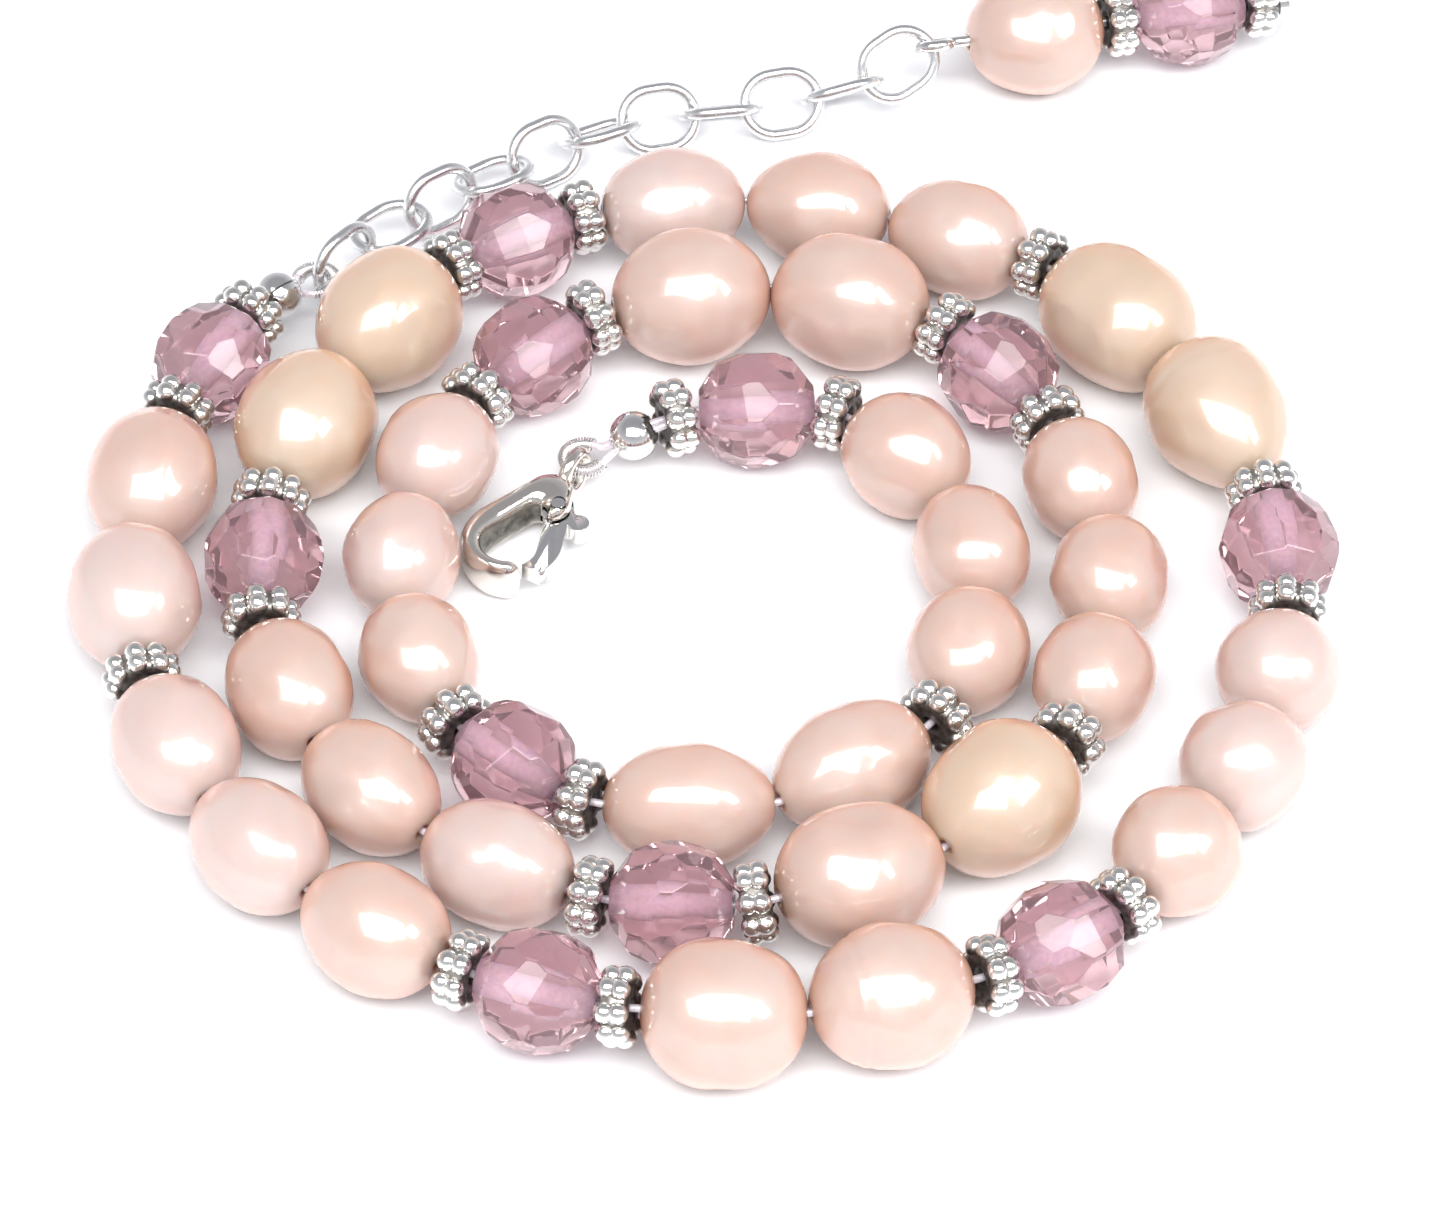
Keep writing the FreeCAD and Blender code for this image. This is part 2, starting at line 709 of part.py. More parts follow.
def clasp_shell():
    """The cast body: a teardrop with an opening through it, a mouth in one side and a hinge slot."""
    thick = size("clasp_thickness")
    half_slot = size("slot_thickness") / 2
    outer = teardrop("clasp_outline", CLASP_TAIL, CLASP_NOSE, thick)
    soft = rounded("clasp_soft", outer, size("clasp_edge"), lambda edge: abs(edge.CenterOfMass.z) > thick / 4)
    hinge_radius = HINGE_WIDTH / 2
    voids = [
        teardrop("clasp_opening", OPENING_TAIL, OPENING_NOSE, 2 * thick),
        block("clasp_mouth", Vector(*MOUTH_LOW, -thick), Vector(*MOUTH_HIGH, thick)),
        post("clasp_hinge_room", LEVER_PIVOT, f"{HINGE_WIDTH}", "sizes.slot_thickness"),
        block(
            "clasp_hinge_way",
            Vector(LEVER_PIVOT.x - hinge_radius, LEVER_PIVOT.y, -half_slot),
            Vector(LEVER_PIVOT.x + hinge_radius, MOUTH_HIGH[1], half_slot),
        ),
        post("clasp_rivet_hole", LEVER_PIVOT, "sizes.rivet_hole", "2 * sizes.clasp_thickness"),
        block(
            "clasp_spring_room", Vector(*SPRING_ROOM[0], -half_slot), Vector(*SPRING_ROOM[1], half_slot)
        ),
    ]
    return cut("clasp_shell", soft, join("clasp_voids", voids))


def lever_metal():
    """An arm that closes the mouth, on a round knuckle with a thumb rest."""
    thick = size("lever_thickness")
    nose = (CLASP_NOSE[0], CLASP_NOSE[1], CLASP_NOSE[2] - LEVER_THINNER)
    wall = cut(
        "lever_wall",
        teardrop("lever_outline", CLASP_TAIL, nose, thick),
        teardrop("lever_inside", OPENING_TAIL, OPENING_NOSE, 2 * thick),
    )
    bounds = block(
        "lever_bounds",
        Vector(LEVER_PIVOT.x, LEVER_START, -thick),
        Vector(LEVER_END, MOUTH_HIGH[1], thick),
    )
    neck = block(
        "lever_neck",
        Vector(LEVER_PIVOT.x - NECK_REACH[0], LEVER_PIVOT.y, -thick / 2),
        Vector(LEVER_PIVOT.x + NECK_REACH[1], THUMB.y, thick / 2),
    )
    knuckle = post("lever_knuckle", LEVER_PIVOT, f"{KNUCKLE_WIDTH}", "sizes.lever_thickness")
    thumb = post("lever_thumb", THUMB, f"{THUMB_WIDTH}", "sizes.lever_thickness")
    metal = join("lever_metal", [common("lever_arm", [wall, bounds]), knuckle, neck, thumb])
    hole = post("lever_hole", LEVER_PIVOT, "sizes.rivet_hole", "2 * sizes.clasp_thickness")
    return cut("lever_master", metal, hole)


def make_clasp(inner):
    """A cast body with a hooked nose, a lever on a rivet, a leaf spring and a ring at the tail."""
    at = clasp_place(inner)
    ring = make(
        "Part::Torus",
        "clasp_tail_ring",
        Radius1="(sizes.tail_ring_width - sizes.tail_ring_wire) / 2",
        Radius2="sizes.tail_ring_wire / 2",
    )
    ring.Placement.Rotation = Rotation(Vector(1, 0, 0), 90)
    copies("clasp_body", [join("clasp_master", [clasp_shell(), ring])], [at])
    copies("clasp_lever", [lever_metal()], [at])
    rivet = post("rivet_master", LEVER_PIVOT, "sizes.rivet_width", "sizes.rivet_length")
    copies("clasp_rivet", [rivet], [at])
    leaf = [Vector(x, y, 0) for x, y in SPRING_LEAF]
    strip = Part.Face(Part.makePolygon(leaf + leaf[:1])).extrude(UP * size("spring_width"))
    strip.translate(UP * (-size("spring_width") / 2))
    copies("clasp_spring", [solid_feature("spring_master", strip)], [at])


# ---------------------------------------------------------------- build, test and write


def write_nodes():
    """Stop if any object or shape is broken, then write each node's STEP file."""
    doc.recompute()
    for thing in doc.Objects:
        if "Invalid" in thing.State or "Error" in thing.State:
            raise RuntimeError(f"{thing.Name} did not build: {thing.State}")
    os.makedirs("parts", exist_ok=True)
    for node in nodes:
        if node.Shape.isNull() or not node.Shape.isValid():
            raise RuntimeError(f"{node.Label} has a broken shape")
        node.Shape.exportStep(f"parts/{node.Label}.step")


def main():
    fill_sheet()
    beads = list_beads()
    thread(beads)
    crystal = crystal_master()
    daisy = daisy_master()
    make_beads(beads, crystal, daisy)
    inner = StrandEnd("inner", beads[0].start, INNER_HEADING, INNER_DROP)
    outer = StrandEnd("outer", beads[-1].end, OUTER_HEADING, OUTER_DROP)
    inner.make_fittings()
    outer.make_fittings()
    make_wire(beads, inner, outer)
    overlap = (size("sleeve_width") + size("link_wire")) / 4 + HANG_PLAY
    last_joint = make_chain(outer.loop + outer.out * (outer.loop_radius - overlap))
    make_dangle(last_joint, crystal, daisy)
    make_clasp(inner)
    write_nodes()


main()
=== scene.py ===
"""Pearl necklace: the looks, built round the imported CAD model. Metres, +Z up, lying on a white table."""

import json
import math
import random

import bmesh
import bpy
from mathutils import Matrix, Vector, noise
from mathutils.bvhtree import BVHTree

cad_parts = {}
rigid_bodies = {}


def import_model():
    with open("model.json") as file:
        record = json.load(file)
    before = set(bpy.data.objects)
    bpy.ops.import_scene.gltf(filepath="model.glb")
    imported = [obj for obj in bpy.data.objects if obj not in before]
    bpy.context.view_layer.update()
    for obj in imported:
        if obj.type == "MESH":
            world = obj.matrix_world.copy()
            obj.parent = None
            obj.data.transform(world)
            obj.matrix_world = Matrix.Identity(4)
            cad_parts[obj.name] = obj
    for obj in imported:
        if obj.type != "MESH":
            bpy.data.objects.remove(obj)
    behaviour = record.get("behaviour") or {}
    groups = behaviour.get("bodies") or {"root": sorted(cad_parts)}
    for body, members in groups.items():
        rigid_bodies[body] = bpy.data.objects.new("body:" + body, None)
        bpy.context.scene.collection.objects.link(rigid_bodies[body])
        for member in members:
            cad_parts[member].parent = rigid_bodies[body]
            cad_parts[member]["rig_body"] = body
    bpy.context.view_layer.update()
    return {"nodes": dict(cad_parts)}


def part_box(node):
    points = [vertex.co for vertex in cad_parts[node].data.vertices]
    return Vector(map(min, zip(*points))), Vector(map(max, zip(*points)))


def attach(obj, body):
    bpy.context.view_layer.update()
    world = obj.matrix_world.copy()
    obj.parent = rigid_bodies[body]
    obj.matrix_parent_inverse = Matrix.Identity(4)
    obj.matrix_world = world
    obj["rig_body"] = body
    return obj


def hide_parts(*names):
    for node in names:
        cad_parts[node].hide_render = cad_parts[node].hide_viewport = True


MM = 0.001
UP = Vector((0, 0, 1))

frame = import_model()
nodes = frame["nodes"]
scene = bpy.context.scene


# ---------------------------------------------------------------- camera, light and table

LOOK_AT = Vector((0.834, -6.007, 0.0)) * MM
CAMERA_DISTANCE = 333.0 * MM
CAMERA_ELEVATION = math.radians(46.97)
LENS = 167.57
SENSOR_WIDTH = 36.0
SOFTBOX_DISTANCE = 0.6
TABLE_REACH = 2.5


def add_camera():
    data = bpy.data.cameras.new("camera")
    data.sensor_width = SENSOR_WIDTH
    data.lens = LENS
    data.clip_start = 0.01
    data.clip_end = 20.0
    camera = bpy.data.objects.new("camera", data)
    scene.collection.objects.link(camera)
    back = Vector((0, -math.cos(CAMERA_ELEVATION), math.sin(CAMERA_ELEVATION)))
    camera.location = LOOK_AT + back * CAMERA_DISTANCE
    camera.rotation_euler = (math.pi / 2 - CAMERA_ELEVATION, 0, 0)
    scene.camera = camera


def add_softbox(name, azimuth, elevation, width, height, power):
    """A rectangular light that faces the necklace. Azimuth 0 is the camera's side, and 90 is the right."""
    data = bpy.data.lights.new(name, "AREA")
    data.shape = "RECTANGLE"
    data.size = width
    data.size_y = height
    data.energy = power
    light = bpy.data.objects.new(name, data)
    scene.collection.objects.link(light)
    a, e = math.radians(azimuth), math.radians(elevation)
    away = Vector((math.sin(a) * math.cos(e), -math.cos(a) * math.cos(e), math.sin(e)))
    light.location = away * SOFTBOX_DISTANCE
    light.rotation_mode = "QUATERNION"
    light.rotation_quaternion = away.to_track_quat("Z", "Y")
    light.visible_camera = False


def add_world():
    """Pale all round, and greyer high up behind the necklace."""
    world = bpy.data.worlds.new("studio")
    scene.world = world
    world.use_nodes = True
    tree = world.node_tree
    background = tree.nodes["Background"]
    place = tree.nodes.new("ShaderNodeTexCoord")
    gradient = tree.nodes.new("ShaderNodeSeparateXYZ")
    ramp = tree.nodes.new("ShaderNodeValToRGB")
    ramp.color_ramp.elements[0].position = 0.0
    ramp.color_ramp.elements[0].color = (0.92, 0.94, 0.98, 1)
    ramp.color_ramp.elements[1].position = 0.75
    ramp.color_ramp.elements[1].color = (0.42, 0.42, 0.45, 1)
    tree.links.new(place.outputs["Generated"], gradient.inputs["Vector"])
    tree.links.new(gradient.outputs["Z"], ramp.inputs["Fac"])
    tree.links.new(ramp.outputs["Color"], background.inputs["Color"])
    background.inputs["Strength"].default_value = 0.9


def add_table():
    """A white card, far larger than the picture."""
    mesh = bpy.data.meshes.new("table")
    corners = [(x * TABLE_REACH, y * TABLE_REACH, 0) for x, y in ((-1, -1), (1, -1), (1, 1), (-1, 1))]
    mesh.from_pydata(corners, [], [(0, 1, 2, 3)])
    table = bpy.data.objects.new("table", mesh)
    scene.collection.objects.link(table)
    material, shader, _ = new_material("white_card")
    shader.inputs["Base Color"].default_value = (0.9, 0.905, 0.92, 1)
    shader.inputs["Roughness"].default_value = 0.7
    shader.inputs["Specular IOR Level"].default_value = 0.2
    mesh.materials.append(material)


# ---------------------------------------------------------------- materials


def new_material(name):
    """A material with a Principled shader, and its node tree."""
    material = bpy.data.materials.new(name)
    material.use_nodes = True
    tree = material.node_tree
    return material, tree.nodes["Principled BSDF"], tree


def add_noise(tree, scale, detail=3.0, roughness=0.5):
    """A noise texture over the object's own coordinates. Scale is in features per metre."""
    place = tree.nodes.new("ShaderNodeTexCoord")
    texture = tree.nodes.new("ShaderNodeTexNoise")
    texture.inputs["Scale"].default_value = scale
    texture.inputs["Detail"].default_value = detail
    texture.inputs["Roughness"].default_value = roughness
    tree.links.new(place.outputs["Object"], texture.inputs["Vector"])
    return texture


def add_ramp(tree, source, stops):
    """A colour ramp over a value, from stops of (position, colour)."""
    ramp = tree.nodes.new("ShaderNodeValToRGB")
    elements = ramp.color_ramp.elements
    while len(elements) < len(stops):
        elements.new(0.5)
    for element, (position, colour) in zip(elements, stops):
        element.position = position
        element.color = (*colour, 1)
    tree.links.new(source, ramp.inputs["Fac"])
    return ramp


def add_bump(tree, shader, height, strength, distance):
    bump = tree.nodes.new("ShaderNodeBump")
    bump.inputs["Strength"].default_value = strength
    bump.inputs["Distance"].default_value = distance
    tree.links.new(height, bump.inputs["Height"])
    tree.links.new(bump.outputs["Normal"], shader.inputs["Normal"])


def nacre(name, pale, body, deep):
    """Pearl: cloudy body colour under a clear glossy skin, with painted shade: a deeper peach painted
    towards its outline as seen, standing in for light bounced between the pearls.
    """
    material, shader, tree = new_material(name)
    cloud = add_noise(tree, 260.0, detail=4.0, roughness=0.55)
    front = add_ramp(tree, cloud.outputs["Fac"], [(0.3, body), (0.7, pale)])
    # Painted shade: towards the outline as seen, the base colour turns to the deeper peach.
    rim = tree.nodes.new("ShaderNodeLayerWeight")
    rim.inputs["Blend"].default_value = 0.35
    depth = add_ramp(tree, rim.outputs["Facing"], [(0.25, (0.0,) * 3), (0.85, (1.0,) * 3)])
    painted_rim_shade = tree.nodes.new("ShaderNodeMix")
    painted_rim_shade.data_type = "RGBA"
    painted_rim_shade.inputs["B"].default_value = (*deep, 1)
    tree.links.new(depth.outputs["Color"], painted_rim_shade.inputs["Factor"])
    tree.links.new(front.outputs["Color"], painted_rim_shade.inputs["A"])
    tree.links.new(painted_rim_shade.outputs["Result"], shader.inputs["Base Color"])
    shader.inputs["Subsurface Weight"].default_value = 0.8
    shader.inputs["Subsurface Radius"].default_value = (1.0, 0.42, 0.22)
    shader.inputs["Subsurface Scale"].default_value = 0.0017
    shader.inputs["IOR"].default_value = 1.8
    shader.inputs["Coat Weight"].default_value = 1.0
    shader.inputs["Coat Roughness"].default_value = 0.07
    shader.inputs["Coat IOR"].default_value = 1.5
    waves = add_noise(tree, 420.0, detail=1.0)
    gloss = add_ramp(tree, waves.outputs["Fac"], [(0.3, (0.32,) * 3), (0.7, (0.4,) * 3)])
    tree.links.new(gloss.outputs["Color"], shader.inputs["Roughness"])
    return material


def amethyst_glass():
    """Mauve glass, a little cloudy, so that its darkest facets stay plum."""
    material, shader, tree = new_material("amethyst_glass")
    cloud = add_noise(tree, 180.0, detail=2.0)
    ramp = add_ramp(tree, cloud.outputs["Fac"], [(0.35, (0.7, 0.45, 0.49)), (0.7, (0.76, 0.53, 0.57))])
    tree.links.new(ramp.outputs["Color"], shader.inputs["Base Color"])
    shader.inputs["Transmission Weight"].default_value = 0.88
    shader.inputs["Roughness"].default_value = 0.015
    shader.inputs["IOR"].default_value = 1.5
    return material


def drilled_glass():
    """The wall of a glass bead's hole: ground, so it scatters light."""
    material, shader, tree = new_material("drilled_glass")
    grind = add_noise(tree, 3500.0, detail=2.0)
    ramp = add_ramp(tree, grind.outputs["Fac"], [(0.3, (0.8, 0.7, 0.84)), (0.7, (0.95, 0.88, 0.97))])
    tree.links.new(ramp.outputs["Color"], shader.inputs["Base Color"])
    shader.inputs["Roughness"].default_value = 0.6
    shader.inputs["Subsurface Weight"].default_value = 0.3
    shader.inputs["Subsurface Scale"].default_value = 0.0005
    add_bump(tree, shader, grind.outputs["Fac"], 0.3, 0.00003)
    return material


PITTING = 0.35  # how much the cast surface's pits vary its patina
PITTING_SHIFT = -0.17


def patinated_and_shaded(name, bright, dull, black, gloss):
    """Cast silver: bright where it stands out, darker and rougher where its mesh is marked: real antiquing
    black in the daisies' hollows, painted shade on the walls of the clasp's opening.
    """
    material, shader, tree = new_material(name)
    mark = tree.nodes.new("ShaderNodeAttribute")
    mark.attribute_name = "patina_and_shade"
    pits = add_noise(tree, 2600.0, detail=3.0)
    spread = tree.nodes.new("ShaderNodeMath")
    spread.operation = "MULTIPLY_ADD"
    spread.inputs[1].default_value = PITTING
    spread.inputs[2].default_value = PITTING_SHIFT
    tree.links.new(pits.outputs["Fac"], spread.inputs[0])
    total = tree.nodes.new("ShaderNodeMath")
    total.operation = "ADD"
    tree.links.new(mark.outputs["Fac"], total.inputs[0])
    tree.links.new(spread.outputs["Value"], total.inputs[1])
    colour = add_ramp(tree, total.outputs["Value"], [(0.25, bright), (0.6, dull), (0.85, black)])
    tree.links.new(colour.outputs["Color"], shader.inputs["Base Color"])
    rough = add_ramp(tree, total.outputs["Value"], [(0.3, (gloss,) * 3), (0.8, (0.55,) * 3)])
    tree.links.new(rough.outputs["Color"], shader.inputs["Roughness"])
    shader.inputs["Metallic"].default_value = 1.0
    add_bump(tree, shader, pits.outputs["Fac"], 0.25, 0.00004)
    return material


def antiqued_silver():
    """The daisies' silver, with black left in its recesses."""
    return patinated_and_shaded("antiqued_silver", (0.82, 0.81, 0.78), (0.3, 0.28, 0.26), (0.02, 0.018, 0.017), 0.16)


def cast_silver():
    """The clasp's silver: inside its opening, painted shade darkens it and it is rougher."""
    return patinated_and_shaded("cast_silver", (0.83, 0.79, 0.73), (0.36, 0.34, 0.3), (0.08, 0.075, 0.07), 0.1)


def silver(name, bright, roughness, scale):
    """Polished silver with faint handling marks."""
    material, shader, tree = new_material(name)
    marks = add_noise(tree, scale, detail=4.0)
    colour = add_ramp(tree, marks.outputs["Fac"], [(0.3, tuple(c * 0.9 for c in bright)), (0.7, bright)])
    tree.links.new(colour.outputs["Color"], shader.inputs["Base Color"])
    rough = add_ramp(tree, marks.outputs["Fac"], [(0.35, (roughness * 1.5,) * 3), (0.7, (roughness,) * 3)])
    tree.links.new(rough.outputs["Color"], shader.inputs["Roughness"])
    shader.inputs["Metallic"].default_value = 1.0
    add_bump(tree, shader, marks.outputs["Fac"], 0.1, 0.00003)
    return material


def stranded_wire():
    """Clear-coated steel beading wire: fine strands twisted round it."""
    material, shader, tree = new_material("beading_wire")
    strands = add_noise(tree, 5200.0, detail=1.0)
    colour = add_ramp(tree, strands.outputs["Fac"], [(0.4, (0.8, 0.7, 0.76)), (0.6, (0.93, 0.86, 0.92))])
    tree.links.new(colour.outputs["Color"], shader.inputs["Base Color"])
    shader.inputs["Metallic"].default_value = 0.25
    shader.inputs["Roughness"].default_value = 0.3
    shader.inputs["Coat Weight"].default_value = 1.0
    add_bump(tree, shader, strands.outputs["Fac"], 0.4, 0.00005)
    return material


# ---------------------------------------------------------------- what the frame says about the beads


HOLE_RADII = {"pearl": 0.4 * MM, "crystal": 0.55 * MM, "daisy": 0.5 * MM}
AXIS_SLACKS = (1.4, 1.15, 1.06)  # how wide of the hole its rim is looked for, each time closer
DIRECTION_COUNT = 4000
WELD = 0.0005 * MM  # the CAD mesh's points closer than this are one
STRAND_BEADS = ("pearls_", "crystal_", "daisies_", "spacer_")
DANGLE_BEADS = ("dangle_pearl", "dangle_crystal", "dangle_daisies")


class Bead:
    """One bead as the CAD made it: where its hole starts and ends, how wide it is, and its body."""

    def __init__(self, node, mesh):
        self.node = node
        self.body = nodes[node]["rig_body"]
        self.mesh = mesh
        points = [v.co for v in mesh.verts]
        centre = volume_centre(mesh)
        axis = open_direction(mesh, centre)
        hole = HOLE_RADII[self.kind]
        for slack in AXIS_SLACKS:
            centre, axis = refined_axis(points, centre, axis, hole * slack)
        self.centre = centre
        self.axis = axis
        along = [(p - centre).dot(axis) for p in points]
        self.length = max(along) - min(along)
        self.width = 2 * max(((p - centre) - axis * a).length for p, a in zip(points, along))

    @property
    def kind(self):
        if "crystal" in self.node:
            return "crystal"
        return "pearl" if "pearl" in self.node else "daisy"

    def tip(self, side):
        """One end of the hole: side is -1 for its start and 1 for its end."""
        return self.centre + self.axis * (side * self.length / 2)

    def turn(self):
        """Local Z runs along the hole, and local X points as far up as it can."""
        up = (UP - self.axis * UP.dot(self.axis)).normalized()
        across = self.axis.cross(up)
        return Matrix((up, across, self.axis)).transposed()


def solids(node):
    """The separate solids of a CAD node, each as a bmesh."""
    whole = bmesh.new()
    whole.from_mesh(nodes[node].data)
    bmesh.ops.remove_doubles(whole, verts=whole.verts, dist=WELD)
    left = set(whole.verts)
    found = []
    while left:
        todo = [left.pop()]
        island = set(todo)
        while todo:
            for edge in todo.pop().link_edges:
                for vert in edge.verts:
                    if vert not in island:
                        island.add(vert)
                        todo.append(vert)
        left -= island
        found.append(island)
    result = []
    for island in found:
        piece = bmesh.new()
        copy = {vert: piece.verts.new(vert.co) for vert in island}
        for face in {face for vert in island for face in vert.link_faces}:
            piece.faces.new([copy[vert] for vert in face.verts])
        result.append(piece)
    whole.free()
    return result


def volume_centre(mesh):
    """The centre of a closed mesh's volume."""
    total = 0.0
    weighted = Vector()
    anchor = next(iter(mesh.verts)).co
    for face in mesh.faces:
        a, *others = [vert.co - anchor for vert in face.verts]
        for b, c in zip(others, others[1:]):
            volume = a.dot(b.cross(c))
            total += volume
            weighted += (a + b + c) * (volume / 4)
    return anchor + weighted / total


def even_directions(count):
    """Directions spread evenly over a sphere."""
    golden = math.pi * (3 - math.sqrt(5))
    for number in range(count):
        z = 1 - 2 * (number + 0.5) / count
        radius = math.sqrt(1 - z * z)
        yield Vector((radius * math.cos(golden * number), radius * math.sin(golden * number), z))


def open_direction(mesh, centre):
    """Which way the hole runs: the middle of the directions that leave the bead without meeting it."""
    tree = BVHTree.FromBMesh(mesh)
    total = Vector()
    for direction in even_directions(DIRECTION_COUNT):
        if tree.ray_cast(centre, direction)[0] is None:
            total += direction if total.dot(direction) >= 0 else -direction
    return total.normalized()


def refined_axis(points, centre, axis, reach):
    """The line through the rims of the hole, whose points are all within reach of it."""
    away = []
    for point in points:
        along = (point - centre).dot(axis)
        away.append(((point - centre - axis * along).length, along, point))
    ends = []
    for side in (-1, 1):
        rim = [point for distance, along, point in away if distance < reach and along * side > 0]
        low, high = (Vector([pick(p[k] for p in rim) for k in range(3)]) for pick in (min, max))
        ends.append((low + high) / 2)
    middle = (ends[0] + ends[1]) / 2
    direction = (ends[1] - ends[0]).normalized()
    return middle, direction


def read_strand():
    """Every bead in order from the clasp, and then the beads of the dangle."""
    beads = []
    for node in nodes:
        if node.startswith(STRAND_BEADS + DANGLE_BEADS):
            beads += [Bead(node, mesh) for mesh in solids(node)]
    dangle = [bead for bead in beads if bead.node.startswith("dangle")]
    strand = [bead for bead in beads if not bead.node.startswith("dangle")]
    low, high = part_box("crimp_cover_inner")
    at = (low + high) / 2
    ordered = []
    while strand:
        bead, side = min(
            ((bead, side) for bead in strand for side in (-1, 1)),
            key=lambda option: (option[0].tip(option[1]) - at).length,
        )
        if side == 1:
            bead.axis = -bead.axis
        ordered.append(bead)
        strand.remove(bead)
        at = bead.tip(1)
    return ordered, dangle


# ---------------------------------------------------------------- pieces


def add_piece(name, data, body, materials, replaced, place=Matrix()):
    """A visible piece that rides on a body, and is seen in place of one CAD node."""
    piece = bpy.data.objects.new(name, data)
    scene.collection.objects.link(piece)
    piece.matrix_world = place
    for material in materials:
        if material.name not in data.materials:
            data.materials.append(material)
    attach(piece, body)
    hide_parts(replaced)


PEARL_RINGS = 48
PEARL_SIDES = 56
PEARL_WAVES = ((1.1, 0.05), (2.3, 0.03), (4.5, 0.011))  # how fine the unevenness is, and how deep
PEARL_BORE = (0.985, 0.9, 0.0, -0.9, -0.985)  # rings along the hole's wall, over half the pearl's length
BORE_LIP = 1.15  # where the skin starts, over the hole's radius


def marked(size, along, around, traits):
    """A pearl's size at one place, with its rings and dimples pressed in."""
    for place, depth, width in traits.get("rings", ()):
        size *= 1 - depth * math.exp(-(((along - place) / width) ** 2))
    for place, heading, depth, width in traits.get("dimples", ()):
        apart = (around - math.radians(heading) + math.pi) % (2 * math.pi) - math.pi
        size *= 1 - depth * math.exp(-((along - place) ** 2 + (apart * 0.8) ** 2) / width**2)
    return size


def rest_on_table(points, middle):
    """Squeeze what is below the middle height upwards, so that nothing dips under the table."""
    lowest = min(point.z for point in points)
    if lowest < 0:
        squeeze = middle / (middle - lowest)
        for point in points:
            below = min(0.0, point.z - middle)
            point.z += below * (squeeze - 1)


def pearl_mesh(name, bead, seed, traits):
    """An oval pearl with a drilled hole: slightly egg-shaped and uneven, with any dimple or ring it has."""
    radius = bead.width / 2
    half = bead.length / 2
    rng = random.Random(seed)
    egg = traits.get("egg", rng.uniform(-0.05, 0.05))
    barrel = traits.get("barrel", rng.uniform(1.9, 2.15))
    offset = Vector([rng.uniform(-50, 50) for _ in range(3)])
    hole = HOLE_RADII["pearl"]
    start = math.asin(min(1.0, hole * BORE_LIP / radius))
    turn = bead.turn()
    verts = []
    for ring in range(PEARL_RINGS + 1):
        angle = start + (math.pi - 2 * start) * ring / PEARL_RINGS
        along = -math.cos(angle) / math.cos(start)
        outward = max(0.0, 1 - abs(along * math.cos(start)) ** barrel) ** 0.5
        for side in range(PEARL_SIDES):
            around = 2 * math.pi * side / PEARL_SIDES
            direction = Vector((math.cos(around), math.sin(around), along))
            wave = sum(noise.noise(direction * fineness + offset) * depth for fineness, depth in PEARL_WAVES)
            size = outward * (1 + egg * along) * (1 + wave * (1 - along**6))
            size = marked(size, along, around, traits)
            verts.append(Vector((direction.x * size * radius, direction.y * size * radius, along * half)))
    widest = max(math.hypot(v.x, v.y) for v in verts)
    shrink = radius / widest
    for vert in verts:
        vert.x *= shrink
        vert.y *= shrink
    for place in PEARL_BORE:
        for side in range(PEARL_SIDES):
            around = 2 * math.pi * side / PEARL_SIDES
            verts.append(Vector((hole * math.cos(around), hole * math.sin(around), place * half)))
    rings = PEARL_RINGS + 1 + len(PEARL_BORE)
    faces = []
    for ring in range(rings):
        following = (ring + 1) % rings
        for side in range(PEARL_SIDES):
            beside = (side + 1) % PEARL_SIDES
            faces.append(
                (
                    ring * PEARL_SIDES + side,
                    ring * PEARL_SIDES + beside,
                    following * PEARL_SIDES + beside,
                    following * PEARL_SIDES + side,
                )
            )
    placed = [bead.centre + turn @ v for v in verts]
    rest_on_table(placed, bead.centre.z)
    mesh = bpy.data.meshes.new(name)
    mesh.from_pydata(placed, [], faces)
    mesh.shade_smooth()
    return mesh


# Marks of single pearls, by their number from the clasp. Places run from -1 at the clasp's end of the
# hole to 1 at the other; headings turn about the hole from straight up.
PEARL_TRAITS = {
    15: {"dimples": [(-0.1, 15, 0.13, 0.35)]},
    25: {"egg": -0.2, "rings": [(-0.35, 0.02, 0.05)]},
    29: {"rings": [(0.42, 0.02, 0.04), (0.56, 0.015, 0.04)]},
    35: {"rings": [(0.6, 0.02, 0.06)]},
    24: {"barrel": 2.5},
    30: {"barrel": 2.5},
}
# Which nacre each pearl has. Those not named are "peach".
PEARL_NACRE = {
    "pale": (7, 8, 16, 21, 26, 27, 32, 33, 34),
    "cream": (14, 19, 20, 24, 25),
}


DANGLE_SEED = 100


def make_pearls(beads, dangle):
    """Every pearl of the strand, numbered from the clasp, and the dangle's."""
    kinds = {
        # Each nacre's last colour is the deeper peach of its painted rim shade.
        "peach": nacre("nacre_peach", (0.55, 0.43, 0.38), (0.54, 0.37, 0.31), (0.68, 0.31, 0.19)),
        "pale": nacre("nacre_pale", (0.57, 0.47, 0.44), (0.56, 0.42, 0.38), (0.68, 0.36, 0.27)),
        "cream": nacre("nacre_cream", (0.55, 0.44, 0.35), (0.54, 0.4, 0.29), (0.7, 0.34, 0.16)),
    }
    pearls = [bead for bead in beads if bead.kind == "pearl"]
    for number, bead in enumerate(pearls, 1):
        kind = next((k for k, members in PEARL_NACRE.items() if number in members), "peach")
        mesh = pearl_mesh(f"pearl_{number:02d}", bead, number, PEARL_TRAITS.get(number, {}))
        add_piece(f"pearl_{number:02d}", mesh, bead.body, [kinds[kind]], bead.node)
    for bead in dangle:
        if bead.kind == "pearl":
            mesh = pearl_mesh("pearl_dangle", bead, DANGLE_SEED, {})
            add_piece("pearl_dangle", mesh, bead.body, [kinds["peach"]], bead.node)


CRYSTAL_SIDES = 9
CUT_LEAN = 0.36  # the slope of the added facets
CUT_DEPTH = 0.955  # their distance from the middle, over half the bead's width
CUT_STAGGER = 0.25  # how far the added rows are turned, as a share of one facet
BORE_REACH = 1.1  # the hole's wall is within this of the nearest point to its axis
WEAR = 0.045 * MM  # the width worn off each edge
FLAT = math.radians(2)
FACET_EDGE = math.radians(5)


